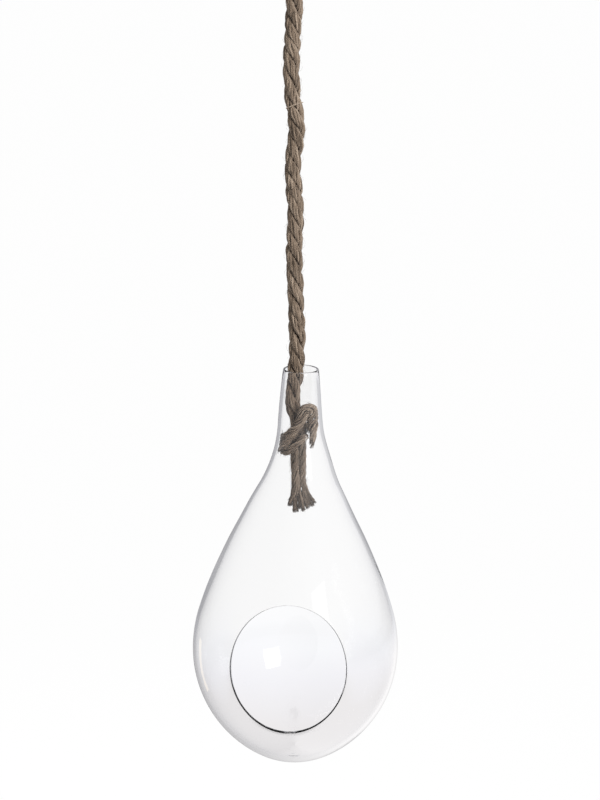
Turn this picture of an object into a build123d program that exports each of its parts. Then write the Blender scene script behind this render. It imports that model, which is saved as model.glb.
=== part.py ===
# Hanging glass drop on a three-strand rope.
#
# A blown teardrop vessel with an open neck and an oval opening in its front wall hangs on a rope.
# The rope runs down through the neck. Inside the vessel one strand is hitched round the other two,
# which makes a knot too wide for the neck, and the two strands end below it in a frayed tail.
# The rope's upper end is folded into a loop for a hook and bound with twine.
#
# Frame: +Z is up, the opening faces -Y, and the rope hangs down the Z axis. The origin is the point
# inside the top of the loop that bears on the hook. Knot depths are measured down from the rim.
from build123d import *
from math import acos, asin, atan2, cos, pi, radians, sin, sqrt, tan
import os

# Rope: a plain round length, its strands and the free bends in it
rope_diameter = 10.0
strand_gap = 0.3
hanging_length = 324.0
bend_ball_radius = 6.0
bend_gap = 0.3
first_bend_depth = 107.0
bend_spacing = 30.0

# Hanging loop at the top
hook_radius = 10.0
loop_length = 60.0
leg_gap = 0.6
short_leg_length = 96.0
loop_leg_bend = 40.0

# Twine that binds the loop's two legs
twine_diameter = 1.8
twine_seat_gap = 0.2
twine_turn_gap = 0.5
twine_turns = 9
whipping_start = 67.5

# Glass vessel
body_diameter = 120.0
bowl_depth_share = 1.1333
bowl_bottom_share = 0.8
wall = 1.8
base_thickness = 3.4
mouth_diameter = 22.2
neck_length = 34.0
neck_taper = 3.4
throat_radius = 80.0
shoulder_radius = 380.0
belly_radius = 75.0
belly_angle = 17.5
lip_round = 0.8

# Opening in the front wall
opening_width = 66.0
opening_height = 75.0
opening_rise = 2.0
opening_turn = 4.5
opening_edge_round = 0.6

# How the vessel hangs: the rope lies to the left in the neck and the front wall is cut away,
# so the glass leans and tips by these angles until its weight is under the rope
rope_to_neck_gap = 0.9
neck_offset_y = -1.5
vessel_lean = 1.15
vessel_tip = 0.9

# Knot and frayed tail, as depths below the rim
strands_part_depth = 8.0
tail_end_depth = 70.0
knot_to_glass_gap = 0.35
fold_depth = 25.4
fold_width = 5.5
fold_y = -3.8
tip_length = 6.5
tip_diameter = 1.2

# Yarns that open out at the end of the tail
yarn_diameter = 1.5
yarns_per_strand = 5
yarn_ring_radius = 1.42
yarn_straight = 2.0
yarn_reach = 11.5
yarn_reach_change = 2.2
yarn_reach_step = 2.4
yarn_spread = 1.1
yarn_bend = 4.0

rope_radius = rope_diameter / 2
# Three strands in a triangle, strand_gap apart, just fill the rope's round outline
strand_diameter = (rope_radius - strand_gap / sqrt(3)) / (1 / sqrt(3) + 1 / 2)
strand_radius = strand_diameter / 2
twine_radius = twine_diameter / 2
body_radius = body_diameter / 2
# The bowl below the widest part keeps its form when the body changes size
bowl_depth = bowl_depth_share * body_radius
bowl_bottom_radius = bowl_bottom_share * body_radius
rim_height = -hanging_length
first_bend = -first_bend_depth
second_bend = first_bend - bend_spacing
# The rope lies against the left of the neck, so the neck's axis stands to the right of it
neck_bore_radius = mouth_diameter / 2 - wall
neck_offset_x = neck_bore_radius - rope_radius - rope_to_neck_gap


def biarc(start, start_way, end, end_way):
    """Two tangent arcs from start to end, leaving and arriving along the given ways."""
    start, end = Vector(start), Vector(end)
    start_way, end_way = Vector(start_way).normalized(), Vector(end_way).normalized()
    across = end - start
    ways = start_way + end_way
    # Both arcs have the same tangent length, the positive root of this quadratic
    square = 2 * (start_way.dot(end_way) - 1)
    middle = -2 * across.dot(ways)
    reach = (-middle - sqrt(middle**2 - 4 * square * across.dot(across))) / (2 * square)
    start_corner = start + start_way * reach
    end_corner = end - end_way * reach
    join = (start_corner + end_corner) * 0.5
    return [
        TangentArc(start, join, tangent=start_way),
        TangentArc(join, end, tangent=end_corner - start_corner),
    ]


def round_tube(edges, diameter):
    """A round section swept along a chain of tangent lines and arcs."""
    path = Wire(edges)
    section = Plane(path @ 0, z_dir=path % 0) * Circle(diameter / 2)
    return sweep(section, path)


def least_gap(edges, diameter, step=0.5):
    """Least clear space between two turns of a tube, measured on points along its middle line."""
    path = Wire(edges)
    count = int(path.length / step)
    points = [path @ (i / count) for i in range(count + 1)]
    apart = int(pi * diameter / step)
    distances = [
        (points[i] - points[j]).length for i in range(count + 1) for j in range(i + apart, count + 1)
    ]
    return min(distances) - diameter


def rope_run(top, bottom, ball_top=False, socket_bottom=False):
    """A straight length of rope. A bend is a rounded top end in a hollow bottom end."""
    run = Pos(0, 0, (top + bottom) / 2) * Cylinder(rope_radius, top - bottom)
    if ball_top:
        crown = top + bend_ball_radius
        run = Pos(0, 0, (crown + bottom) / 2) * Cylinder(rope_radius, crown - bottom)
        below = Pos(0, 0, (top + bottom) / 2) * Cylinder(rope_diameter, top - bottom)
        run = run & (below + Pos(0, 0, top) * Sphere(bend_ball_radius))
    if socket_bottom:
        run = run - Pos(0, 0, bottom) * Sphere(bend_ball_radius + bend_gap)
    return run


def hanging_loop():
    """The rope's upper end, led round the hook and back down beside itself."""
    leg_spacing = rope_diameter + leg_gap
    bend = hook_radius + rope_radius
    middle = Vector(0, 0, -hook_radius)
    neck = Vector(0, 0, -loop_length)
    return_neck = Vector(leg_spacing, 0, -loop_length)

    def touch(point, side):
        """Where a straight leg from a point meets the bend round the hook."""
        line = middle - point
        turn = side * asin(bend / line.length)
        reach = sqrt(line.length**2 - bend**2)
        lean = atan2(line.X, line.Z) + turn
        return point + Vector(sin(lean), 0, cos(lean)) * reach

    left, right = touch(neck, -1), touch(return_neck, 1)
    standing = FilletPolyline((0, 0, first_bend), neck, left, radius=loop_leg_bend)
    over = ThreePointArc(left, (0, 0, rope_radius), right)
    short = FilletPolyline(right, return_neck, (leg_spacing, 0, -short_leg_length), radius=loop_leg_bend)
    edges = standing.edges() + [over] + short.edges()
    loop = round_tube(edges, rope_diameter)
    return loop - Pos(0, 0, first_bend) * Sphere(bend_ball_radius + bend_gap)


def twine_path():
    """Turns of twine round both legs: straight runs at front and back, half turns at the sides."""
    leg_spacing = rope_diameter + leg_gap
    side = rope_radius + twine_seat_gap + twine_radius
    pitch = twine_diameter + twine_turn_gap
    turn_length = 2 * leg_spacing + 2 * side * pi
    rise = pitch / turn_length
    half_turn_drop = rise * side * pi
    run_drop = rise * leg_spacing
    rightward = Vector(1, 0, -rise)
    leftward = Vector(-1, 0, -rise)

    # The first run is at the back, from the middle to the right
    start = Vector(leg_spacing / 2, side, -whipping_start)
    point = start + rightward * (leg_spacing / 2)
    edges = [Line(start, point)]
    for turn in range(twine_turns):
        front = Vector(leg_spacing, -side, point.Z - half_turn_drop)
        edges += biarc(point, rightward, front, leftward)
        front_end = Vector(0, -side, front.Z - run_drop)
        edges.append(Line(front, front_end))
        back = Vector(0, side, front_end.Z - half_turn_drop)
        edges += biarc(front_end, leftward, back, rightward)
        last = turn == twine_turns - 1
        point = back + rightward * (leg_spacing / 2 if last else leg_spacing)
        edges.append(Line(back, point))
    return edges


def vessel_outline(inset, bottom_inset):
    """Half of the vessel's section, from the mouth to the bottom, moved inwards by inset."""
    taper, belly = radians(neck_taper), radians(belly_angle)
    mouth_radius = mouth_diameter / 2
    # The shoulder's slope is what lets belly, shoulder, throat and neck meet smoothly
    width = mouth_radius + neck_length * sin(taper) + throat_radius * cos(taper)
    width += belly_radius - body_radius + (shoulder_radius - belly_radius) * cos(belly)
    slope = acos(width / (shoulder_radius + throat_radius))
    neck_drop = neck_length * cos(taper)
    throat_drop = throat_radius * (sin(slope) - sin(taper))
    shoulder_drop = shoulder_radius * (sin(slope) - sin(belly))
    equator = -(neck_drop + throat_drop + shoulder_drop + belly_radius * sin(belly))

    # Centres of the three arcs, as radius and height
    belly_centre = Vector(body_radius - belly_radius, equator)
    spread = shoulder_radius - belly_radius
    shoulder_centre = belly_centre - Vector(cos(belly), sin(belly)) * spread
    throat_centre = shoulder_centre + Vector(cos(slope), sin(slope)) * (shoulder_radius + throat_radius)

    def on(centre, radius, angle):
        """A point of an arc. A negative radius gives the side that faces the vessel's axis."""
        return centre + Vector(cos(angle), sin(angle)) * radius

    outer_throat = throat_radius + inset
    outer_shoulder = shoulder_radius - inset
    outer_belly = belly_radius - inset
    mouth = Vector(mouth_radius - inset / cos(taper), 0)
    neck_end = on(throat_centre, -outer_throat, taper)
    throat_middle = on(throat_centre, -outer_throat, (taper + slope) / 2)
    throat_end = on(throat_centre, -outer_throat, slope)
    curve = [
        Line(mouth, neck_end),
        ThreePointArc(neck_end, throat_middle, throat_end),
        ThreePointArc(
            throat_end,
            on(shoulder_centre, outer_shoulder, (slope + belly) / 2),
            on(shoulder_centre, outer_shoulder, belly),
        ),
        ThreePointArc(
            on(belly_centre, outer_belly, belly),
            on(belly_centre, outer_belly, belly / 2),
            on(belly_centre, outer_belly, 0),
        ),
    ]
    # The bowl: a side arc that runs on into a rounder bottom arc
    radius, depth = body_radius - inset, bowl_depth - bottom_inset
    bottom_radius = bowl_bottom_radius - inset
    side_radius = (radius**2 + depth**2 - 2 * depth * bottom_radius) / (2 * (radius - bottom_radius))
    side_centre = Vector(radius - side_radius, equator)
    bottom_centre = Vector(0, equator - depth + bottom_radius)
    fall = atan2(bottom_centre.Y - side_centre.Y, bottom_centre.X - side_centre.X)
    bottom = Vector(0, equator - depth)
    curve += [
        ThreePointArc(
            on(side_centre, side_radius, 0),
            on(side_centre, side_radius, fall / 2),
            on(side_centre, side_radius, fall),
        ),
        ThreePointArc(
            on(bottom_centre, bottom_radius, fall),
            on(bottom_centre, bottom_radius, (fall - pi / 2) / 2),
            bottom,
        ),
    ]
    return curve, mouth, bottom, equator


def glass_vessel():
    """The blown drop, upright about its own axis with its rim at height 0."""
    outer, outer_mouth, outer_bottom, equator = vessel_outline(0, 0)
    inner, inner_mouth, inner_bottom, _ = vessel_outline(wall, base_thickness)
    rim = Line(outer_mouth, inner_mouth)
    pole = Line(outer_bottom, inner_bottom)
    section = make_face(outer + inner + [rim, pole])
    shell = revolve(Plane.XZ * section, Axis.Z)
    lip = shell.edges().filter_by(GeomType.CIRCLE).group_by(Axis.Z)[-1]
    shell = fillet(lip, lip_round)

    oval = Pos(0, equator + opening_rise) * Ellipse(opening_width / 2, opening_height / 2)
    cutter = Rot(0, 0, -opening_turn) * extrude(Plane.XZ * oval, body_diameter)
    shell = shell - cutter
    cut_faces = [face for face in shell.faces() if face.geom_type == GeomType.EXTRUSION]
    return fillet(cut_faces[0].edges(), opening_edge_round)


def knot_point(x, y, depth):
    """A point of the knot, from its depth below the rim."""
    return Vector(x, y, rim_height - depth)


# The three strands lie in a triangle inside the rope: two in front, one behind
strand_spacing = strand_diameter + strand_gap
front_y = -strand_spacing / (2 * sqrt(3))
back_y = strand_spacing / sqrt(3)

# Middle line of the two front strands below the rope, as sideways shift and depth
core_route = [(0.0, strands_part_depth), (0.0, 13.0), (-1.4, 20.0), (2.0, 35.0), (2.0, tail_end_depth)]
core_bends = [22.0, 15.0, 60.0]
tail_x = core_route[-1][0]


def tail_strand(side):
    """One of the two strands that run straight on through the hitch to the tail."""
    shift = side * strand_spacing / 2
    route = [knot_point(x + shift, front_y, depth) for x, depth in core_route]
    return round_tube(FilletPolyline(*route, radius=core_bends).edges(), strand_diameter)


# The fold at the right bears on the neck's inner wall
fold_bore_radius = neck_bore_radius + fold_depth * tan(radians(neck_taper))
fold_axis_x = neck_offset_x - fold_depth * tan(radians(vessel_lean))
fold_reach = fold_bore_radius - strand_radius - knot_to_glass_gap
fold_axis_y = neck_offset_y - fold_depth * tan(radians(vessel_tip))
fold_x = fold_axis_x + sqrt(fold_reach**2 - (fold_y - fold_axis_y) ** 2)

# The hitched strand: down behind the two, out at the left, up across the front, down at the right.
# Each entry is a point and the way the strand runs there.
hitch_route = [
    (knot_point(0.0, back_y, strands_part_depth), (0, 0, -1)),
    (knot_point(0.0, back_y, 12.5), (0, 0, -1)),
    (knot_point(-1.1, 2.9, 20.0), (0.08, 0, -1)),
    (knot_point(0.6, 3.45, 36.0), (-0.2, 0, -1)),
    (knot_point(-3.4, 2.8, 45.8), (-0.8, -0.4, -0.45)),
    (knot_point(-6.4, -1.4, 46.0), (-0.1, -0.8, 0.6)),
    (knot_point(-3.2, -6.0, 41.0), (0.6, -0.2, 0.75)),
    (knot_point(1.2, -6.5, 34.5), (0.55, 0.1, 0.83)),
    (knot_point(fold_x - fold_width, -5.4, fold_depth), (0, 0.08, 1)),
    (knot_point(fold_x - fold_width / 2, -4.6, fold_depth - fold_width / 2), (1, 0.3, 0)),
    (knot_point(fold_x, fold_y, fold_depth), (0, 0.08, -1)),
    (knot_point(fold_x, -4.6, 40.0), (-0.03, -0.03, -1)),
]


def hitch_path():
    """Middle line of the hitched strand: a straight start, then arcs through the points."""
    edges = [Line(hitch_route[0][0], hitch_route[1][0])]
    for (start, start_way), (end, end_way) in zip(hitch_route[1:], hitch_route[2:]):
        edges += biarc(start, start_way, end, end_way)
    return edges


def hitch_strand():
    """The hitched strand, with the thin point that its free end has frayed to."""
    strand = round_tube(hitch_path(), strand_diameter)
    end, way = hitch_route[-1]
    tip = Cone(strand_radius, tip_diameter / 2, tip_length, align=(Align.CENTER, Align.CENTER, Align.MIN))
    return strand + Plane(end, z_dir=way) * tip


def frayed_yarns():
    """The yarns of both tail strands, which open out below the strands' ends."""
    yarns = []
    for side in (-1, 1):
        for number in range(yarns_per_strand):
            half_step = 0.5 if side > 0 else 0
            angle = 2 * pi * (number + half_step) / yarns_per_strand
            out_x = side * strand_spacing / 2 + yarn_ring_radius * cos(angle)
            out_y = yarn_ring_radius * sin(angle)
            reach = yarn_reach + yarn_reach_change * cos(yarn_reach_step * number + side)
            top = knot_point(tail_x + out_x, front_y + out_y, tail_end_depth)
            bend = top - Vector(0, 0, yarn_straight)
            end = bend + Vector(out_x * yarn_spread, out_y * yarn_spread, yarn_straight - reach)
            path = FilletPolyline(top, bend, end, radius=yarn_bend)
            yarns.append(round_tube(path.edges(), yarn_diameter))
    return Compound(children=yarns)


place_vessel = Location((neck_offset_x, neck_offset_y, rim_height), (-vessel_tip, vessel_lean, 0))
strands_part = rim_height - strands_part_depth

parts = {
    "rope_top_loop": hanging_loop(),
    "loop_whipping": round_tube(twine_path(), twine_diameter),
    "rope_bend_length": rope_run(first_bend, second_bend, ball_top=True, socket_bottom=True),
    "rope_hanging_length": rope_run(second_bend, strands_part, ball_top=True),
    "tail_strand_left": tail_strand(-1),
    "tail_strand_right": tail_strand(1),
    "hitch_strand": hitch_strand(),
    "frayed_yarn_ends": frayed_yarns(),
    "glass_vessel": place_vessel * glass_vessel(),
}

print("whipping: least gap between turns", round(least_gap(twine_path(), twine_diameter), 2), "mm")
print("hitch: least gap to itself", round(least_gap(hitch_path(), strand_diameter), 2), "mm")

os.makedirs("parts", exist_ok=True)
for name, solid in parts.items():
    export_step(solid, f"parts/{name}.step")
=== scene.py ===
# Hanging glass drop on a jute rope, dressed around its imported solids.
import math

import bpy
import numpy as np
from mathutils import Matrix, Vector


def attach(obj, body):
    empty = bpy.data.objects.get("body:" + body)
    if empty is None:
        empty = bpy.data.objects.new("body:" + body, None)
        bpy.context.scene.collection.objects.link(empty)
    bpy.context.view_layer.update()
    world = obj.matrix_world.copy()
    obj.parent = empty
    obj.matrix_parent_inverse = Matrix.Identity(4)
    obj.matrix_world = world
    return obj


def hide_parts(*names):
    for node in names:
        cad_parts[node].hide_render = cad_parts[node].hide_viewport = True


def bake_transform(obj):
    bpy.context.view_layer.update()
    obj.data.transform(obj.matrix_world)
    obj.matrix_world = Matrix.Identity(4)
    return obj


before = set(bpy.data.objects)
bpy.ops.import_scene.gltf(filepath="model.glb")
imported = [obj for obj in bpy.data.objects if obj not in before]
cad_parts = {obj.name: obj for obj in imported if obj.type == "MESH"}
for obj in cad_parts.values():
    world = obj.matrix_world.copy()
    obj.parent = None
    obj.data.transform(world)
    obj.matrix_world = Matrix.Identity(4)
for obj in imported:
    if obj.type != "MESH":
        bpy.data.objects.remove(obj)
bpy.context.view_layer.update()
mm = 0.001

# Rope
# Three soft strands of jute, laid up left-handed, about 10 mm thick in all. Each strand is a bundle of
# yarns twisted the other way, so the yarns run almost straight down the rope's outside. The upper end
# is led round the hook and back down beside itself.
rope_route = [
    (2.0, 0, -359), (1.9, 0, -354), (-0.2, 0, -348.5), (-2.2, 0.1, -342), (-0.4, 0, -334), (0.4, 0, -324),
    (1.5, 0.2, -312), (0.7, 0.3, -291), (-0.2, -0.2, -268), (-0.7, -0.3, -253), (0.7, 0.2, -235),
    (-0.9, 0.3, -217), (-1.4, 0, -205), (1.8, -0.3, -186), (-2.3, 0, -164), (-1.9, 0.2, -144),
    (-0.6, 0, -122), (0, 0, -104),
    (0, 0, -80), (0, 0, -58), (-15.4, 0, -12), (-14.6, 0, 5), (14.6, 0, 5), (15.6, 0, -12), (10.6, 0, -58),
    (10.6, 0, -80), (10.6, 0, -96),
]
stray_yarn_route = [
    (-3.4, 1.0, -175.4), (-5.2, -1.2, -175.2), (-4.6, -4.6, -174.4), (-0.4, -6.0, -172.6),
    (3.6, -4.6, -171.6), (4.8, -1.6, -171.6), (3.6, 1.0, -172.0),
]
rope_lay = 33.5
strand_offset = 2.85
yarn_count = 7
yarn_ring = 1.4
yarn_radius = 0.86
yarn_turns_per_lay = 2.1
unlaid_length = 20.0
fuzz_per_mm = 2.0
yarn_sides = 8
fibre_sides = 3
stray_yarn_sides = 6
stray_yarn_radius = 0.3
stray_yarn_paler = 0.35
first_cut_height = -220
second_cut_height = -122
short_leg_side = 6
out_of_reach = 999


def spline_points(name, points, step):
    """Evenly spaced points, in mm, read from a smooth spline that has the given control points."""
    curve = bpy.data.curves.new(name, "CURVE")
    curve.dimensions = "3D"
    curve.resolution_u = 24
    spline = curve.splines.new("NURBS")
    spline.points.add(len(points) - 1)
    for point, place in zip(spline.points, points):
        point.co = (*place, 1)
    spline.order_u = 3
    spline.use_endpoint_u = True
    return read_points(curve, step)


def read_points(curve, step):
    """Evenly spaced points of a curve that has no thickness."""
    holder = bpy.data.objects.new(curve.name, curve)
    bpy.context.scene.collection.objects.link(holder)
    bpy.context.view_layer.update()
    line = bpy.data.meshes.new_from_object(holder.evaluated_get(bpy.context.evaluated_depsgraph_get()))
    raw = np.array([v.co for v in line.vertices])
    bpy.data.objects.remove(holder)
    bpy.data.curves.remove(curve)
    bpy.data.meshes.remove(line)
    along = run_length(raw)
    even = np.linspace(0, along[-1], int(along[-1] / step) + 2)
    return np.stack([np.interp(even, along, raw[:, axis]) for axis in range(3)], 1)


def run_length(points):
    """Distance along a line at each of its points."""
    return np.concatenate([[0], np.cumsum(np.linalg.norm(np.diff(points, axis=0), axis=1))])


def frames_along(points, start_side):
    """Direction, side and third axis at each point, carried along the line without twist."""
    way = np.gradient(points, axis=0)
    way /= np.linalg.norm(way, axis=1)[:, None]
    side = np.empty_like(points)
    now = np.array(start_side, float)
    for i, w in enumerate(way):
        now = now - w * now.dot(w)
        now /= np.linalg.norm(now)
        side[i] = now
    return way, side, np.cross(way, side)


def drift(rng, along, wave, size):
    """A smooth random wander along a line, with a typical wave length and size."""
    total = np.zeros_like(along)
    for _ in range(4):
        total += np.sin(along * 2 * math.pi / (wave * rng.uniform(0.6, 1.8)) + rng.uniform(0, 2 * math.pi))
    return total * size / 2


def settle(along, length=8.0):
    """Grows from 0 to 1 over the first stretch of a line, so that lines that meet there agree."""
    return np.clip(along / length, 0, 1)


def yarns_of(rng, centre, outward, sideways, turn, ring, radius, count, loose=0.1):
    """Middle lines and radii of a strand's yarns: a ring of them that turns about the strand's middle."""
    along = run_length(centre)
    found = []
    for number in range(count):
        angle = turn + 2 * math.pi * number / count + drift(rng, along, wave=14, size=0.16) * settle(along)
        reach = ring * (1 + drift(rng, along, wave=9, size=loose) * settle(along))
        line = centre + outward * (np.cos(angle) * reach)[:, None]
        line = line + sideways * (np.sin(angle) * reach)[:, None]
        found.append((line, radius * (1 + drift(rng, along, wave=6, size=0.1))))
    return found


def fuzz_on(rng, yarns, count, length, rise):
    """Fine loose fibres that leave the outside of the yarns at a low angle."""
    found = []
    middle = np.mean([line for line, _ in yarns], axis=0)
    for _ in range(count):
        line, radius = yarns[rng.integers(len(yarns))]
        start = rng.integers(2, len(line) - 2)
        out = line[start] - middle[start]
        out = out / max(np.linalg.norm(out), 1e-6)
        way = (line[start + 1] - line[start - 1]) * rng.choice((-1, 1))
        way = way / np.linalg.norm(way)
        side = np.cross(way, out) * rng.uniform(-0.25, 0.25)
        share = np.linspace(0, 1, 5)[:, None]
        reach = length * rng.uniform(0.5, 1.3)
        lift = rise * rng.uniform(0.2, 1.0)
        lifted = np.sin(share * rng.uniform(1.5, 3.0)) * lift
        root = np.broadcast_to(radius, len(line))[start] * 0.9
        fibre = line[start] + out * (root + lifted) + (way + side) * reach * share
        found.append((fibre, np.linspace(0.06, 0.03, 5)))
    return found


def tube_mesh(name, groups, finish):
    """One object made of groups of round tubes, in metres. A group has a number of sides, and a tone or a
    function that gives the tone along a tube. Each tube keeps its own straight place for its fibres."""
    vertices, faces, places, tones = [], [], [], []
    base = 0
    every = [(*tube, sides, tone) for tubes, sides, tone in groups for tube in tubes]
    for number, (line, radius, sides, tone) in enumerate(every):
        radius = np.broadcast_to(radius, len(line))
        upright = abs(line[1][0] - line[0][0]) < abs(line[1][2] - line[0][2])
        _, side, third = frames_along(line, (1, 0, 0) if upright else (0, 0, 1))
        along = run_length(line)
        around = np.arange(sides) * 2 * math.pi / sides
        ring = side[:, None] * np.cos(around)[None, :, None] + third[:, None] * np.sin(around)[None, :, None]
        vertices.append((line[:, None] + ring * radius[:, None, None]).reshape(-1, 3))
        offset = np.array((number * 7.31 % 50, number * 3.77 % 40, number * 11.9 % 300))
        flat = np.stack(np.broadcast_arrays(np.cos(around)[None] * radius[:, None],
                                            np.sin(around)[None] * radius[:, None], along[:, None]), 2)
        places.append((flat + offset).reshape(-1, 3))
        tone = tone(line) if callable(tone) else tone
        tones.append(np.repeat(np.broadcast_to(tone, len(line)), sides))
        grid = base + np.arange(len(line) * sides).reshape(len(line), sides)
        turned = np.roll(grid, -1, 1)
        faces += np.stack([grid[:-1], turned[:-1], turned[1:], grid[1:]], 2).reshape(-1, 4).tolist()
        faces.append(grid[0][::-1].tolist())
        faces.append(grid[-1].tolist())
        base += len(line) * sides
    mesh = bpy.data.meshes.new(name)
    mesh.from_pydata((np.concatenate(vertices) * mm).tolist(), [], faces)
    mesh.polygons.foreach_set("use_smooth", np.ones(len(faces), bool))
    place = mesh.attributes.new("fibre_place", "FLOAT_VECTOR", "POINT")
    place.data.foreach_set("vector", np.concatenate(places).astype(np.float32).ravel())
    shift = mesh.attributes.new("fibre_tone", "FLOAT", "POINT")
    shift.data.foreach_set("value", np.concatenate(tones).astype(np.float32))
    mesh.materials.append(finish)
    made = bpy.data.objects.new(name, mesh)
    bpy.context.scene.collection.objects.link(made)
    return made


class Wire:
    """An output of a material's node. Sums and products of wires add Math nodes."""

    def __init__(self, tree, socket=None):
        self.tree = tree
        self.socket = socket

    def node(self, kind, settings=None, inputs=None, output=0):
        """Adds a node, sets its settings first, then its sockets' values or links."""
        made = self.tree.nodes.new(kind)
        for key, value in (settings or {}).items():
            if key == "stops":
                ramp = made.color_ramp.elements
                while len(ramp) < len(value):
                    ramp.new(0.5)
                for stop, (place, colour) in zip(ramp, value):
                    stop.position = place
                    stop.color = colour if len(colour) == 4 else (*colour, 1)
            else:
                setattr(made, key, value)
        for key, value in (inputs or {}).items():
            if isinstance(value, Wire):
                self.tree.links.new(value.socket, made.inputs[key])
            else:
                made.inputs[key].default_value = value
        return Wire(self.tree, made.outputs[output])

    def math_node(self, operation, first, second):
        return self.node("ShaderNodeMath", {"operation": operation}, {0: first, 1: second})

    def __add__(self, other):
        return self.math_node("ADD", self, other)

    __radd__ = __add__

    def __mul__(self, other):
        return self.math_node("MULTIPLY", self, other)

    __rmul__ = __mul__

    def __sub__(self, other):
        return self.math_node("SUBTRACT", self, other)

    def __rsub__(self, other):
        return self.math_node("SUBTRACT", other, self)


def new_finish(name):
    """An empty material, its wiring and its output node."""
    material = bpy.data.materials.new(name)
    material.use_nodes = True
    material.node_tree.nodes.clear()
    output = material.node_tree.nodes.new("ShaderNodeOutputMaterial")
    return material, Wire(material.node_tree), output


def jute_finish(name, dark, middle, pale):
    """Twisted jute: fine streaks along each yarn, some of them bleached, and slow changes of tone."""
    material, wire, output = new_finish(name)
    place = wire.node("ShaderNodeAttribute", {"attribute_name": "fibre_place"}, output="Vector")
    stretched = wire.node("ShaderNodeVectorMath", {"operation": "MULTIPLY"}, {0: place, 1: (1.7, 1.7, 0.12)})
    streaks = wire.node("ShaderNodeTexNoise", {}, {"Vector": stretched, "Scale": 1.0, "Detail": 4.0,
                                                   "Roughness": 0.65})
    slow = wire.node("ShaderNodeVectorMath", {"operation": "MULTIPLY"}, {0: place, 1: (0.4, 0.4, 0.06)})
    patches = wire.node("ShaderNodeTexNoise", {}, {"Vector": slow, "Scale": 1.0, "Detail": 2.0})
    # Each point's tone shift: painted light on the knot's right, painted shade at cut ends and tips, a paler
    # stray yarn
    shift = wire.node("ShaderNodeAttribute", {"attribute_name": "fibre_tone"}, output="Fac")
    tone = streaks * 1.05 + patches * 0.75 + shift - 0.41
    stops = [(0.3, dark), (0.52, middle), (0.76, pale)]
    colour = wire.node("ShaderNodeValToRGB", {"stops": stops}, {"Fac": tone})
    bump = wire.node("ShaderNodeBump", {}, {"Strength": 0.55, "Distance": 0.0004, "Height": streaks})
    shader = wire.node("ShaderNodeBsdfPrincipled", {}, {
        "Base Color": colour, "Roughness": 0.92, "Specular IOR Level": 0.2, "Normal": bump,
        "Sheen Weight": 0.12, "Sheen Roughness": 0.6,
    })
    material.node_tree.links.new(shader.socket, output.inputs["Surface"])
    return material


jute = jute_finish("jute_rope", (0.055, 0.038, 0.025), (0.165, 0.122, 0.088), (0.3, 0.237, 0.18))
rope_line = spline_points("rope_route", rope_route, 0.8)
rope_along = run_length(rope_line)
_, rope_side, rope_third = frames_along(rope_line, (0, 1, 0))
rope_rng = np.random.default_rng(11)


def lay_turn(along):
    """How far the strands have turned at a distance from the knot, where they run straight at first."""
    share = np.clip(along / unlaid_length, 0, 1)
    eased = unlaid_length * (share**3 - share**4 / 2) + np.maximum(along - unlaid_length, 0)
    return -2 * math.pi * (eased / rope_lay)


rope_strands = []
uneven_lay = drift(rope_rng, rope_along, wave=75, size=0.4) * settle(rope_along, length=30)
for strand in range(3):
    turn = lay_turn(rope_along) + uneven_lay + strand * 2 * math.pi / 3
    turn = turn + drift(rope_rng, rope_along, wave=50, size=0.12) * settle(rope_along)
    outward = rope_side * np.cos(turn)[:, None] + rope_third * np.sin(turn)[:, None]
    wander = drift(rope_rng, rope_along, wave=24, size=0.12) * settle(rope_along)
    closer = 1 - 0.1 * np.exp(-((rope_along - unlaid_length) / 9) ** 2)
    centre = rope_line + outward * ((strand_offset + wander) * closer)[:, None]
    strand_way = np.gradient(centre, axis=0)
    strand_way /= np.linalg.norm(strand_way, axis=1)[:, None]
    sideways = np.cross(strand_way, outward) * 1.3
    spin = -yarn_turns_per_lay * lay_turn(rope_along)
    yarns = yarns_of(rope_rng, centre, outward * 0.86, sideways, spin, yarn_ring, yarn_radius, yarn_count)
    rope_strands.append(yarns + [(centre, np.ones(len(centre)))])

# The rope bends at two joints and twists at a third, so it is three pieces that meet end to end
in_short_leg = (rope_line[:, 0] > short_leg_side) * out_of_reach
first_cut = np.argmin(np.abs(rope_line[:, 2] - first_cut_height) + in_short_leg)
second_cut = np.argmin(np.abs(rope_line[:, 2] - second_cut_height) + in_short_leg)
stray_line = spline_points("stray_yarn_route", stray_yarn_route, 0.6)
rope_pieces = {}
for name, low, high in (("rope_lower", 0, first_cut), ("rope_middle", first_cut, second_cut),
                        ("rope_upper", second_cut, len(rope_line) - 1)):
    reach = slice(low, high + 1)
    yarns = [(line[reach], radius[reach]) for strand in rope_strands for line, radius in strand]
    path = rope_line[reach] * mm
    length = run_length(path)[-1]
    fuzz = fuzz_on(rope_rng, yarns, count=int(length / mm * fuzz_per_mm), length=4.0, rise=1.2)
    stray = [(stray_line, stray_yarn_radius)] if name == "rope_middle" else []
    rope_pieces[name] = tube_mesh(name, [
        (yarns, yarn_sides, 0), (fuzz, fibre_sides, 0), (stray, stray_yarn_sides, stray_yarn_paler),
    ], jute)
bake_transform(rope_pieces["rope_lower"])
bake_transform(rope_pieces["rope_middle"])
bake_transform(rope_pieces["rope_upper"])
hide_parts("rope_hanging_length")
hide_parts("rope_top_loop", "rope_bend_length")

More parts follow.
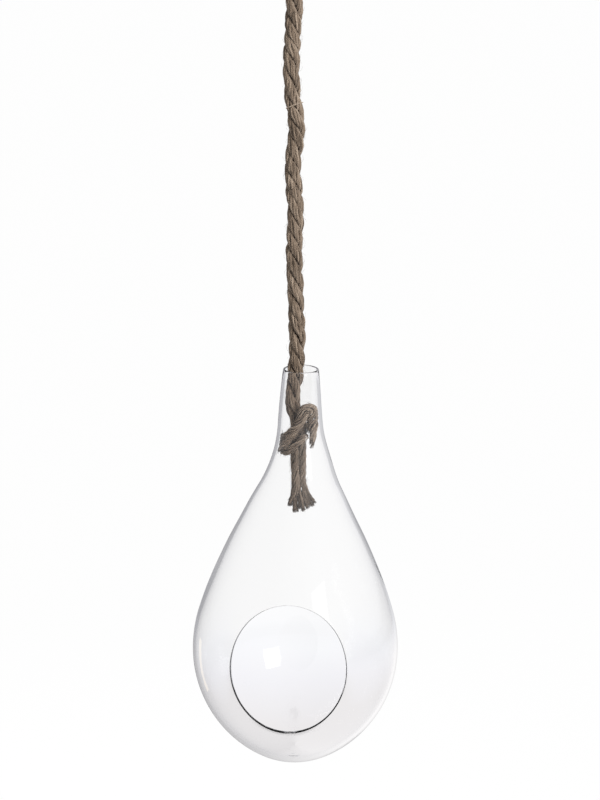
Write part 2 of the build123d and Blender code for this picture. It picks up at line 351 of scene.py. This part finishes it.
# Twine whipping
# Nine tight turns of pale two-ply jute twine, wound by hand round the rope and its short end below the loop.
# They bind the two together, so that the loop can't open under the weight of the glass.
twine_turns = 9
twine_pitch = 2.3
twine_top = -67.5
twine_reach = 6.6
twine_start_angle = 112.5
points_per_turn = 8
leg_spacing = 10.6
ply_lay = 7
ply_ring = 0.52
ply_radius = 0.56
twine_route = []
for number in range(twine_turns * points_per_turn + 1):
    angle = math.radians(twine_start_angle + 360 / points_per_turn * number)
    far_leg = leg_spacing if math.cos(angle) > 0 else 0
    twine_route.append((far_leg + twine_reach * math.cos(angle), twine_reach * math.sin(angle),
                        twine_top - twine_pitch * number / points_per_turn))
twine_line = spline_points("twine_route", twine_route, 0.5)
twine_along = run_length(twine_line)
_, twine_side, twine_third = frames_along(twine_line, (0, 0, 1))
twine_rng = np.random.default_rng(5)
ply_turn = twine_along * 2 * math.pi / ply_lay
plies = yarns_of(twine_rng, twine_line, twine_side, twine_third, ply_turn, ply_ring, ply_radius, count=2,
                 loose=0.04)
twine_fuzz = fuzz_on(twine_rng, plies, count=160, length=3.0, rise=0.8)
twine = jute_finish("jute_twine", (0.16, 0.115, 0.08), (0.34, 0.26, 0.19), (0.52, 0.42, 0.32))
whipping = tube_mesh("twine_whipping", [(plies, yarn_sides, 0), (twine_fuzz, fibre_sides, 0)], twine)
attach(whipping, "hanger")
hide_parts("loop_whipping")

# Hitched strand
# One of the rope's three strands. Below the neck it goes round the other two from behind, crosses in front
# of them, folds over at the right and ends there in a frayed point. It makes the knot that holds the glass.
hitch_route = [
    (2.0, 2.7, -359), (1.4, 3.6, -363), (-3.0, 3.8, -368.5), (-8.0, 0.8, -369), (-7.8, -5.2, -367.5),
    (-3.4, -7.6, -362.5), (1.4, -7.4, -357), (4.4, -6.4, -351), (5.0, -5.6, -347), (10.4, -4.6, -347),
    (9.9, -4.4, -352), (9.4, -4.6, -358), (10.2, -4.7, -364), (9.6, -4.6, -369),
]
loose_band_route = [
    (-3.0, 2.6, -372.5), (-6.4, -0.6, -373.4), (-5.0, -6.4, -372.4), (0.4, -7.4, -368), (5.0, -5.6, -364.2),
    (6.6, -2.0, -363.8), (5.4, 1.4, -365),
]
hitch_ring = 2.3
hitch_leg_ring = 2.7
hitch_yarn_count = 11
cut_end_sides = 4
loose_yarn_radius = 0.63
lobe_height = 2.3
glass_axis_top = (3.4, -1.5, -324)
glass_axis_drift = (-0.02, -0.0157)
glass_inside = ((0, 34, 44, 54), (9.0, 11.2, 12.8, 15.5))
glass_bow = 1.1
glass_bow_depth = 53
glass_bow_length = 17
leg_height = -357
leg_left_side = 8
yarn_to_glass = 1.2
fibre_to_glass = 0.4


def bow(depth):
    """How far the blown glass bows to the right at a depth below its rim."""
    return glass_bow * np.exp(-((depth - glass_bow_depth) / glass_bow_length) ** 2)


def pressed_in(points, gap):
    """Points moved in towards the glass's axis where they would come nearer to its inner wall than a gap."""
    depth = glass_axis_top[2] - points[:, 2]
    axis = np.array(glass_axis_top[:2]) + depth[:, None] * np.array(glass_axis_drift)
    axis[:, 0] += bow(depth)
    off = points[:, :2] - axis
    reach = np.maximum(np.linalg.norm(off, axis=1), 1e-6)
    share = np.minimum(1, (np.interp(depth, *glass_inside) - gap) / reach)
    return np.column_stack([axis + off * share[:, None], points[:, 2]])


def free_strand(rng, line, ring, radius, count, start_side, loose=0.12):
    """The yarns of a strand by itself, round one core yarn, with the twist that it has once unlaid."""
    along = run_length(line)
    _, side, third = frames_along(line, start_side)
    twist = along * 2 * math.pi * (yarn_turns_per_lay - 1) / rope_lay
    yarns = yarns_of(rng, line, side, third, twist, ring, radius, count, loose)
    return yarns + [(line, np.full(len(line), radius * 1.15))]


def brush(rng, line, radius, count, length, spread):
    """The fibres that stand out of a yarn's cut end."""
    way = line[-1] - line[-4]
    way = way / np.linalg.norm(way)
    found = []
    for _ in range(count):
        out = rng.normal(0, 1, 3)
        out = out - way * out.dot(way)
        out = out / np.linalg.norm(out)
        share = np.linspace(0, 1, 5)[:, None]
        start = line[-1] - way * 1.2 + out * radius * rng.uniform(0, 0.9)
        reach = length * rng.uniform(0.5, 1.2) + 1.2
        found.append((start + way * reach * share + out * spread * rng.uniform(0, 1.3) * share**2,
                      np.linspace(0.16, 0.06, 5)))
    return found


knot_rng = np.random.default_rng(23)
hitch_line = spline_points("hitch_route", hitch_route, 0.6)
hitch_yarns, hitch_ends = [], []
hitch_along = run_length(hitch_line)
left_of_leg = (hitch_line[:, 0] < leg_left_side) * out_of_reach
leg_place = np.argmin(np.abs(hitch_line[:, 2] - leg_height) + left_of_leg)
lobe_place = np.argmin(hitch_line[:, 0])
swelling = np.interp(hitch_along, (0, 14, hitch_along[leg_place] - 20, hitch_along[leg_place]),
                     (yarn_ring, hitch_ring, hitch_ring, hitch_leg_ring))
taller = 1 + (lobe_height - 1) * np.exp(-((hitch_along - hitch_along[lobe_place]) / 6) ** 2)
loose_yarns = free_strand(knot_rng, hitch_line, swelling, loose_yarn_radius, hitch_yarn_count, (0, 1, 0))
for line, radius in loose_yarns:
    off = line - hitch_line
    # The yarns at the leg's left end higher up, and the others draw together towards the point
    early = off[leg_place, 0] < -0.8
    keep = leg_place + 5 if early else len(line) - knot_rng.integers(0, 9)
    drawn = 1 - 0.75 * np.clip((np.arange(len(line)) - leg_place) / (len(line) - leg_place), 0, 1)
    line = hitch_line + off * np.column_stack([drawn, drawn, drawn * taller])
    radius = radius * (0.4 + 0.6 * drawn) * (0.75 + 0.25 * taller)
    hitch_yarns.append((pressed_in(line, yarn_to_glass)[:keep], radius[:keep]))
    hitch_ends += brush(knot_rng, line[:keep], radius[keep - 1], count=9, length=2.2, spread=0.9)
band_line = spline_points("loose_band_route", loose_band_route, 0.6)
band_yarns = free_strand(knot_rng, band_line, ring=1.3, radius=loose_yarn_radius, count=6,
                         start_side=(0, 0, 1), loose=0.2)
hitch_fuzz = fuzz_on(knot_rng, band_yarns, count=50, length=4.0, rise=0.9)
full = [(line[:leg_place], radius[:leg_place]) for line, radius in hitch_yarns]
hitch_fuzz += fuzz_on(knot_rng, full, count=300, length=4.0, rise=0.8)
hitch_fuzz = [(pressed_in(line, fibre_to_glass), radius) for line, radius in hitch_fuzz]


def painted_light_right(line):
    """The tone along a yarn: painted light, the knot painted paler at its right, as if lit more from that
    side.
    """
    return np.interp(line[:, 0], (-8, 0, 8), (-0.05, 0.02, 0.15))


hitched = tube_mesh("hitched_strand", [
    (hitch_yarns + band_yarns, yarn_sides, painted_light_right), (hitch_fuzz, fibre_sides, painted_light_right),
    # Painted shade: the cut ends' brushes are painted darker, for the shade between their fibres
    (hitch_ends, cut_end_sides, -0.1),
], jute)
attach(hitched, "knot")
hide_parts("hitch_strand")

# Tail
# The other two strands, which hang on below the knot side by side and end in a short frayed brush, where the
# yarns were cut and have opened.
tail_routes = {
    "tail_left": [(-0.34, -1.35, -359), (-0.3, -1.6, -368), (-0.3, -2.2, -380), (0.3, -2.8, -390),
                  (0.6, -2.8, -399)],
    "tail_right": [(4.34, -1.35, -359), (4.1, -1.2, -368), (3.9, -0.6, -380), (3.6, -0.1, -390),
                   (3.8, 0.0, -399)],
}
tail_tips = {
    "tail_left": [(-3.6, -1.2, -403.8), (-2.9, -3.4, -404.2), (-2.4, 0.8, -404.6), (-1.4, -2.4, -405.6),
                  (-0.4, -4.2, -406.4), (0.4, 0.2, -406.0), (1.3, -2.9, -408.4), (1.6, 1.6, -404.8),
                  (2.2, -0.9, -406.6), (2.9, -4.0, -406.8)],
    "tail_right": [(3.6, 0.6, -405.8), (4.4, -2.6, -407.2), (5.3, -0.6, -407.6), (6.4, -3.4, -406.6),
                   (7.2, 1.2, -405.4), (8.1, -1.6, -406.6), (9.3, -2.8, -406.0), (10.2, 0.2, -405.0),
                   (10.7, -1.6, -404.4), (11.3, -0.4, -402.8)],
}
tail_ring = 1.8
tail_yarn_count = 9
tip_scatter = np.array((0.5, 1.3, 1.0))
tail_opens = 0.83
tail_length = 40


def painted_shade_tips(line):
    """The tone along a yarn: painted shade, the cut ends painted darker than the strand above them."""
    return np.interp(line[:, 2], (-402, -390), (-0.16, 0.04))


tail_nodes = {"tail_left": ["tail_strand_left"], "tail_right": ["tail_strand_right", "frayed_yarn_ends"]}
for name, route in tail_routes.items():
    tail_line = spline_points(name + "_route", route, 0.6)
    share = np.linspace(0, 1, len(tail_line))
    opened = np.clip((share - tail_opens) / (1 - tail_opens), 0, 1)[:, None] ** 1.4
    strand = free_strand(knot_rng, tail_line, tail_ring, loose_yarn_radius, tail_yarn_count,
                         start_side=(0, 1, 0), loose=0.08)
    strand.sort(key=lambda yarn: yarn[0][-1][0] + knot_rng.normal(0, 1.2))
    yarns, ends = [], []
    for (line, radius), tip in zip(strand, tail_tips[name]):
        tip = np.array(tip) + knot_rng.normal(0, 1, 3) * tip_scatter
        line = line + (tip - line[-1]) * opened
        bend = drift(knot_rng, share * tail_length, wave=7, size=0.6)[:, None] * opened
        line = line + np.array((1, 0.6, 0)) * bend
        radius = radius * (1 + 0.7 * opened[:, 0])
        yarns.append((line, radius))
        ends += brush(knot_rng, line, radius[-1], count=20, length=1.2, spread=0.6)
    fuzz = fuzz_on(knot_rng, yarns, count=170, length=4.0, rise=1.0)
    tail = tube_mesh(name, [
        # Painted shade: the yarns darken towards their cut ends, and the cut ends' brushes are painted darker
        # still
        (yarns, yarn_sides, painted_shade_tips), (fuzz, fibre_sides, 0), (ends, cut_end_sides, -0.25),
    ], jute)
    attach(tail, "knot")
    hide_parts(*tail_nodes[name])

# Glass vessel
# One piece of blown clear glass: a teardrop with an open neck and a thin wall, a little heavier below. The
# oval opening was cut in the front and, like the rim, fire-polished to a round edge. It hangs on the knot.
tip_angle = math.radians(-0.9)
lean_angle = math.radians(1.15)
opening_angle = math.radians(-4.5)
vessel_place = Matrix.Translation([part * mm for part in glass_axis_top])
vessel_lean = Matrix.Rotation(tip_angle, 4, "X") @ Matrix.Rotation(lean_angle, 4, "Y")
opening_turn = Matrix.Rotation(opening_angle, 4, "Z")
mouth_radius = 11.1
neck_length = 34.0
neck_taper = math.radians(3.4)
throat_radius = 80.0
shoulder_radius = 380.0
belly_radius = 75.0
belly_angle = math.radians(17.5)
body_radius = 60.0
bowl_depth = 68.0
bowl_bottom_radius = 48.0
wall = 1.8
base_thickness = 2.0
lip_thinning = 0.35
lip_fade = 5
mouth_drawn_in = 0.9
mouth_fade = 16
rim_tilt = 0.7
rim_tilt_fade = 8
scar_radius = 2.6
scar_width = 1.3
scar_height = 0.45
wave_outside = 0.0007
wave_inside = 0.0011
opening_half = (33.0, 37.5)
opening_rise = 2.0
patch_above = 52
patch_below = 47
outline_step = 0.1
pole_angle = 0.02
level_count = 190
columns = 192


def arc_points(centre, radius, start, end):
    """Points along an arc of the vessel's outline, as radius and height."""
    count = int(abs((end - start) * radius) / outline_step)
    angle = np.linspace(start, end, count + 1)[1:]
    return np.stack([centre[0] + radius * np.cos(angle), centre[1] + radius * np.sin(angle)], 1)


def way_of(angle):
    """The direction of an angle in the plane of the outline."""
    return np.array((math.cos(angle), math.sin(angle)))


# The shoulder's slope is what lets belly, shoulder, throat and neck meet smoothly
across = mouth_radius + neck_length * math.sin(neck_taper) + throat_radius * math.cos(neck_taper)
across += belly_radius - body_radius + (shoulder_radius - belly_radius) * math.cos(belly_angle)
slope = math.acos(across / (shoulder_radius + throat_radius))
equator = -neck_length * math.cos(neck_taper) - throat_radius * (math.sin(slope) - math.sin(neck_taper))
equator -= shoulder_radius * (math.sin(slope) - math.sin(belly_angle)) + belly_radius * math.sin(belly_angle)
belly_centre = np.array((body_radius - belly_radius, equator))
shoulder_centre = belly_centre - way_of(belly_angle) * (shoulder_radius - belly_radius)
throat_centre = shoulder_centre + way_of(slope) * (shoulder_radius + throat_radius)
side_radius = body_radius**2 + bowl_depth**2 - 2 * bowl_depth * bowl_bottom_radius
side_radius /= 2 * (body_radius - bowl_bottom_radius)
side_centre = np.array((body_radius - side_radius, equator))
bottom_centre = np.array((0, equator - bowl_depth + bowl_bottom_radius))
fall = math.atan2(bottom_centre[1] - side_centre[1], bottom_centre[0] - side_centre[0])
neck_share = np.linspace(0.5 * wall / neck_length, 1, int(neck_length / outline_step))[:, None]
neck_end = throat_centre - way_of(neck_taper) * throat_radius
outline = np.concatenate([
    np.array((mouth_radius, 0)) * (1 - neck_share) + neck_end * neck_share,
    arc_points(throat_centre, -throat_radius, neck_taper, slope),
    arc_points(shoulder_centre, shoulder_radius, slope, belly_angle),
    arc_points(belly_centre, belly_radius, belly_angle, 0),
    arc_points(side_centre, side_radius, 0, fall),
    arc_points(bottom_centre, bowl_bottom_radius, fall, -math.pi / 2 + pole_angle),
])
# Blown by hand, so not quite even: the mouth is drawn in, the throat and the upper belly are a little full
outline_depth = -outline[:, 1]
outline[:, 0] -= mouth_drawn_in * np.exp(-outline_depth / mouth_fade)
for fuller, at_depth, over in ((0.85, 54, 14), (0.5, 132, 20), (-0.35, 88, 10)):
    outline[:, 0] += fuller * np.exp(-((outline_depth - at_depth) / over) ** 2)
outline_way = np.gradient(outline, axis=0)
outline_way /= np.linalg.norm(outline_way, axis=1)[:, None]
inward = np.stack([outline_way[:, 1], -outline_way[:, 0]], 1)
low_share = np.clip((equator - outline[:, 1]) / bowl_depth, 0, 1) ** 2
thickness = wall + (base_thickness - wall) * low_share
thickness = thickness * (1 - lip_thinning * np.exp(outline[:, 1] / lip_fade))
# The pontil mark: a small scar in the middle of the bottom, where the glass was broken off its rod
scar = np.exp(-((outline[:, 0] - scar_radius) / scar_width) ** 2) * (outline[:, 1] < equator)
outline_outer = outline - np.stack([0 * scar, scar_height * scar], 1)
outline_inner = outline + inward * thickness[:, None]
rows = len(outline)


def vessel_point(turn, row, inner):
    """A point of the outer or inner surface. Blown glass is never quite even, so each has a slight wave."""
    profile = outline_inner if inner else outline_outer
    radius = np.interp(row, np.arange(rows), profile[:, 0])
    height = np.interp(row, np.arange(rows), profile[:, 1])
    phase = 1.7 if inner else 0.0
    wave = np.sin(3 * turn + height / 23 + phase) + np.sin(2 * turn - height / 31 + 2 * phase)
    wave += 0.6 * np.sin(5 * turn + height / 11 + 3 * phase)
    radius = radius * (1 + wave * (wave_inside if inner else wave_outside))
    bowed = bow(-height)
    height = height - rim_tilt * np.cos(turn) * np.exp(height / rim_tilt_fade)
    return np.stack(np.broadcast_arrays(radius * np.sin(turn) + bowed, -radius * np.cos(turn), height), -1)


def row_at(height):
    """The outline's row at a height."""
    return np.interp(-height, -outline[:, 1], np.arange(rows))


# A rectangle of the grid around the opening is left out, and spokes run from its border to the oval
turns = (np.arange(columns) + 0.5) * 2 * math.pi / columns - math.pi
levels = np.linspace(0, rows - 1, level_count)
opening_height = equator + opening_rise
half_columns = 27
first_column = columns // 2 - half_columns
last_column = columns // 2 + half_columns - 1
first_level = int(np.searchsorted(levels, row_at(opening_height + patch_above)))
last_level = int(np.searchsorted(levels, row_at(opening_height - patch_below)))
border = [(c, first_level) for c in range(first_column, last_column)]
border += [(last_column, r) for r in range(first_level, last_level)]
border += [(c, last_level) for c in range(last_column, first_column, -1)]
border += [(first_column, r) for r in range(last_level, first_level, -1)]
border = np.array(border)
border_turn = turns[border[:, 0]]
border_row = levels[border[:, 1]]
middle_row = row_at(opening_height)
spoke = np.arctan2((middle_row - border_row) / (middle_row - border_row[0]), border_turn / border_turn.max())
spoke_rings = 16
lip_rings = 7


def oval(grow):
    """Turn and row of the opening's oval at each spoke."""
    row = row_at(opening_height + (opening_half[1] + grow) * np.sin(spoke))
    radius = np.interp(row, np.arange(rows), outline[:, 0])
    return np.arcsin((opening_half[0] + grow) * np.cos(spoke) / radius), row


vessel_points, vessel_faces = [], []


def add_points(points):
    """Adds points to the vessel and returns their numbers in the same arrangement."""
    flat = points.reshape(-1, 3)
    start = sum(len(p) for p in vessel_points)
    vessel_points.append(flat)
    return (start + np.arange(len(flat))).reshape(points.shape[:-1])


def add_band(first, second, flip):
    """Joins two closed loops of points with four-cornered faces."""
    corners = [first, np.roll(first, -1), np.roll(second, -1), second]
    vessel_faces.extend(np.stack(corners[::-1] if flip else corners, 1).tolist())


rim_loops, oval_loops = [], []
for inner in (False, True):
    grid = add_points(vessel_point(turns[None, :], levels[:, None], inner))
    rim_loops.append(grid[0])
    for r in range(level_count - 1):
        for c in range(columns):
            if first_level <= r < last_level and first_column <= c < last_column:
                continue
            d = (c + 1) % columns
            face = [grid[r, c], grid[r + 1, c], grid[r + 1, d], grid[r, d]]
            vessel_faces.append([int(v) for v in (face[::-1] if inner else face)])
    pole = add_points(np.array([[0, 0, (outline_inner if inner else outline_outer)[-1, 1]]]))[0]
    for c in range(columns):
        face = [grid[-1, c], pole, grid[-1, (c + 1) % columns]]
        vessel_faces.append([int(v) for v in (face[::-1] if inner else face)])
    loop = grid[border[:, 1], border[:, 0]]
    edge_turn, edge_row = oval(0.5 * wall * (1 - lip_thinning))
    for ring in range(1, spoke_rings + 1):
        share = 1 - (1 - ring / spoke_rings) ** 1.3
        turn = border_turn + (edge_turn - border_turn) * share
        row = border_row + (edge_row - border_row) * share
        place = vessel_point(turn, row, inner)
        if inner:
            place = place + (vessel_point(turn, row, False) - place) * lip_thinning * share**4
        following = add_points(place)
        add_band(loop, following, not inner)
        loop = following
    oval_loops.append(loop)

# Round edges: half circles that lead from the outer surface over to the inner one
flat_points = np.concatenate(vessel_points)
for loops, into in (((rim_loops[0], rim_loops[1]), np.array((0, 0, 1.0))),
                    ((oval_loops[0], oval_loops[1]), None)):
    outer_edge, inner_edge = flat_points[loops[0]], flat_points[loops[1]]
    half = (outer_edge - inner_edge) / 2
    reach = np.linalg.norm(half, axis=1)[:, None]
    if into is None:
        into = vessel_point(*oval(0), False) - outer_edge
    lead = into - half * ((into * half).sum(-1)[:, None] / reach**2)
    lead = lead / np.linalg.norm(lead, axis=-1)[:, None]
    loop = loops[0]
    over_rim = loops[0] is rim_loops[0]
    for ring in range(1, lip_rings + 1):
        angle = math.pi * ring / (lip_rings + 1)
        bulge = (outer_edge + inner_edge) / 2 + half * math.cos(angle) + lead * reach * math.sin(angle)
        following = add_points(bulge)
        add_band(loop, following, not over_rim)
        loop = following
    add_band(loop, loops[1], not over_rim)

# The grid's points within the opening belong to no face and are left out
used = sorted({point for face in vessel_faces for point in face})
renumbered = dict(zip(used, range(len(used))))
vessel_faces = [[renumbered[point] for point in face] for face in vessel_faces]
vessel_mesh = bpy.data.meshes.new("glass_drop")
vessel_mesh.from_pydata((np.concatenate(vessel_points)[used] * mm).tolist(), [], vessel_faces)
vessel_mesh.polygons.foreach_set("use_smooth", np.ones(len(vessel_faces), bool))
vessel_mesh.transform(vessel_place @ vessel_lean @ opening_turn)
vessel_mesh.validate()
glass_drop = bpy.data.objects.new("glass_drop", vessel_mesh)
bpy.context.scene.collection.objects.link(glass_drop)

clear_glass, wire, output = new_finish("clear_glass")
glass = wire.node("ShaderNodeBsdfPrincipled", {}, {
    "Base Color": (1, 1, 1, 1), "Roughness": 0.0, "IOR": 1.5, "Transmission Weight": 1.0,
})
through = wire.node("ShaderNodeBsdfTransparent", {}, {"Color": (0.96, 0.96, 0.97, 1)})
lamp_ray = wire.node("ShaderNodeLightPath", output="Is Shadow Ray")
mixed = wire.node("ShaderNodeMixShader", {}, {0: lamp_ray, 1: glass, 2: through})
clear_glass.node_tree.links.new(mixed.socket, output.inputs["Surface"])
vessel_mesh.materials.append(clear_glass)
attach(glass_drop, "vessel")
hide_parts("glass_vessel")

# Studio
# A white sweep far below the hanging object, and soft boxes. What is seen straight is white; through the
# glass, the floor near the object is painted a little grey, a painted shade in the glass. Reflections meet a
# room painted
# only for them: grey near the horizon, darker to the left and lighter to the right. These painted reflections
# draw the dark lines along clear glass.
floor_half = 40
floor_height = -1
led_after = 4
led_per_bounce = 0.07
# Shares of painted reflections: a painted dark card on the left, painted lightening on the right, near-white
# inside
painted_dark_reflection_share = 0.95
painted_bright_reflection_share = 0.35
inside_white_share = 0.68
inside_share = 0.72
corner_signs = ((-1, -1), (1, -1), (1, 1), (-1, 1))
floor_corners = [(x * floor_half, y * floor_half, floor_height) for x, y in corner_signs]
floor_mesh = bpy.data.meshes.new("floor")
floor_mesh.from_pydata(floor_corners, [], [(0, 1, 2, 3)])
floor = bpy.data.objects.new("floor", floor_mesh)
bpy.context.scene.collection.objects.link(floor)


def kinds_of_ray(wire):
    """From 0 to 1 each: through glass, in a reflection, led on inside the wall, lighting a matt surface."""
    ray = wire.node("ShaderNodeLightPath").socket.node.outputs
    bounces = Wire(wire.tree, ray["Glossy Depth"])
    kinds = [Wire(wire.tree, ray["Transmission Depth"]), bounces, (bounces - led_after) * led_per_bounce,
             Wire(wire.tree, ray["Diffuse Depth"])]
    return [wire.node("ShaderNodeClamp", {}, {0: kind}) for kind in kinds]


def mix_colours(wire, share, first, second):
    """The first colour where the share is 0, the second where it is 1."""
    return wire.node("ShaderNodeMix", {"data_type": "RGBA"}, {0: share, 6: first, 7: second}, 2)


def shade_sideways(wire, colour, across, through, led):
    """A painted reflected colour: painted darker towards the left, as a painted reflection of a black card
    that the scene doesn't hold, and painted lighter to the right. What is reflected inside the glass is
    painted nearer to white, and painted grey after a long way inside the wall."""
    share = wire.node("ShaderNodeClamp", {}, {0: across * 1.1 + 0.5})
    shaded = mix_colours(wire, share, mix_colours(wire, painted_dark_reflection_share, colour, (0.05, 0.05, 0.06, 1)),
                         mix_colours(wire, painted_bright_reflection_share, colour, (1, 1, 1, 1)))
    near_white = mix_colours(wire, inside_white_share, colour, (0.97, 0.97, 1, 1))
    inside = mix_colours(wire, led, near_white, (0.5, 0.5, 0.53, 1))
    return mix_colours(wire, through * inside_share, shaded, inside)


white, wire, output = new_finish("white_sweep")
through, mirrored, led, diffused = kinds_of_ray(wire)
spot = wire.node("ShaderNodeNewGeometry", output="Position")
flat = wire.node("ShaderNodeVectorMath", {"operation": "MULTIPLY"}, {0: spot, 1: (0.25, 0.25, 0)})
far = wire.node("ShaderNodeVectorMath", {"operation": "LENGTH"}, {0: flat}, "Value")
flat_way = wire.node("ShaderNodeVectorMath", {"operation": "NORMALIZE"}, {0: flat})
across = wire.node("ShaderNodeSeparateXYZ", {}, {0: flat_way}, "X")
# Painted shade: the floor near the object is painted a little grey only where it is seen through the glass
behind_glass = wire.node("ShaderNodeValToRGB", {"stops": [
    (0.31, (0.83, 0.81, 0.815)), (0.365, (0.91, 0.905, 0.94)), (0.4, (0.97, 0.975, 1)), (0.475, (1, 1, 1)),
]}, {"Fac": far})
# Painted reflection: the floor, white to the camera, is painted grey further off where the glass reflects it
in_mirror = wire.node("ShaderNodeValToRGB", {"stops": [
    (0.4, (1, 0.97, 0.96)), (0.55, (0.74, 0.74, 0.78)), (0.66, (0.5, 0.505, 0.54)),
    (0.78, (0.22, 0.22, 0.24)),
]}, {"Fac": far})
seen = mix_colours(wire, through, (1, 1, 1, 1), behind_glass)
seen = mix_colours(wire, mirrored, seen, shade_sideways(wire, in_mirror, across, through, led))
glow = wire.node("ShaderNodeEmission", {}, {"Color": seen, "Strength": 1.0})
lit = wire.node("ShaderNodeBsdfDiffuse", {}, {"Color": (0.9, 0.9, 0.9, 1)})
mixed = wire.node("ShaderNodeMixShader", {}, {0: (1 - diffused) * 0.98, 1: lit, 2: glow})
white.node_tree.links.new(mixed.socket, output.inputs["Surface"])
floor_mesh.materials.append(white)

world = bpy.data.worlds.new("studio")
bpy.context.scene.world = world
world.use_nodes = True
world.node_tree.nodes.clear()
wire = Wire(world.node_tree)
through, mirrored, led, diffused = kinds_of_ray(wire)
way = wire.node("ShaderNodeTexCoord", output="Generated")
height = wire.node("ShaderNodeSeparateXYZ", {}, {0: way}, "Z")
across = wire.node("ShaderNodeSeparateXYZ", {}, {0: way}, "X")
# Painted reflection: the world is white to the camera, but painted grey near the horizon in reflections
room = wire.node("ShaderNodeValToRGB", {"stops": [
    (0.0, (0.5, 0.505, 0.54)), (0.1, (0.7, 0.705, 0.74)), (0.3, (1, 1, 1)),
]}, {"Fac": height})
seen = mix_colours(wire, mirrored, (1, 1, 1, 1), shade_sideways(wire, room, across, through, led))
sky = wire.node("ShaderNodeBackground", {}, {"Color": seen, "Strength": 1 - diffused * 0.6})
end = world.node_tree.nodes.new("ShaderNodeOutputWorld")
world.node_tree.links.new(sky.socket, end.inputs["Surface"])


def soft_box(name, place, aim, width, height, power, colour=(1, 1, 1), in_glass=True):
    """A flat lamp that faces a point. One that isn't in the glass only lights and has no reflection there."""
    lamp = bpy.data.lights.new(name, "AREA")
    lamp.shape = "RECTANGLE"
    lamp.size = width
    lamp.size_y = height
    lamp.energy = power
    lamp.color = colour
    made = bpy.data.objects.new(name, lamp)
    bpy.context.scene.collection.objects.link(made)
    made.location = place
    made.rotation_euler = (Vector(aim) - Vector(place)).to_track_quat("-Z", "Y").to_euler()
    made.visible_glossy = in_glass
    made.visible_transmission = in_glass
    return made


glass_middle = (0, 0, -0.49)
lamp_aim = (0, 0, -0.35)
soft_box("key", (0.85, -0.8, 0.15), lamp_aim, width=0.7, height=0.7, power=21, in_glass=False)
soft_box("fill", (-1.2, -1.0, 0.2), lamp_aim, width=0.9, height=0.9, power=4.5, in_glass=False)
soft_box("back", (-0.5, 1.2, 0.1), lamp_aim, width=0.9, height=0.9, power=18, in_glass=False)
soft_box("window", (0.62, -1.0, -0.05), glass_middle, width=0.38, height=0.42, power=1.0)
warm_card = soft_box("warm_card", (-0.58, 0.47, -0.755), glass_middle, width=0.09, height=0.28, power=0.085,
                     colour=(1, 0.8, 0.5))
warm_card.visible_transmission = False

# Camera
# It stands at the photograph's viewpoint, about 1.45 m in front of the rope and 0.29 m above the rim of the
# glass, and looks 12 degrees down. The rope's loop is above the picture.
look_down = math.radians(12.085)
camera_data = bpy.data.cameras.new("camera")
camera_data.sensor_width = 36
camera_data.lens = 115.75
camera = bpy.data.objects.new("camera", camera_data)
bpy.context.scene.collection.objects.link(camera)
camera.location = (0.0028, -1.45, -0.0326)
camera.rotation_euler = (math.pi / 2 - look_down, 0, 0)
bpy.context.scene.camera = camera
bpy.context.scene.view_settings.view_transform = "Standard"
# Light is led a long way along inside a glass wall
bpy.context.scene.cycles.glossy_bounces = 76
bpy.context.scene.cycles.max_bounces = 90
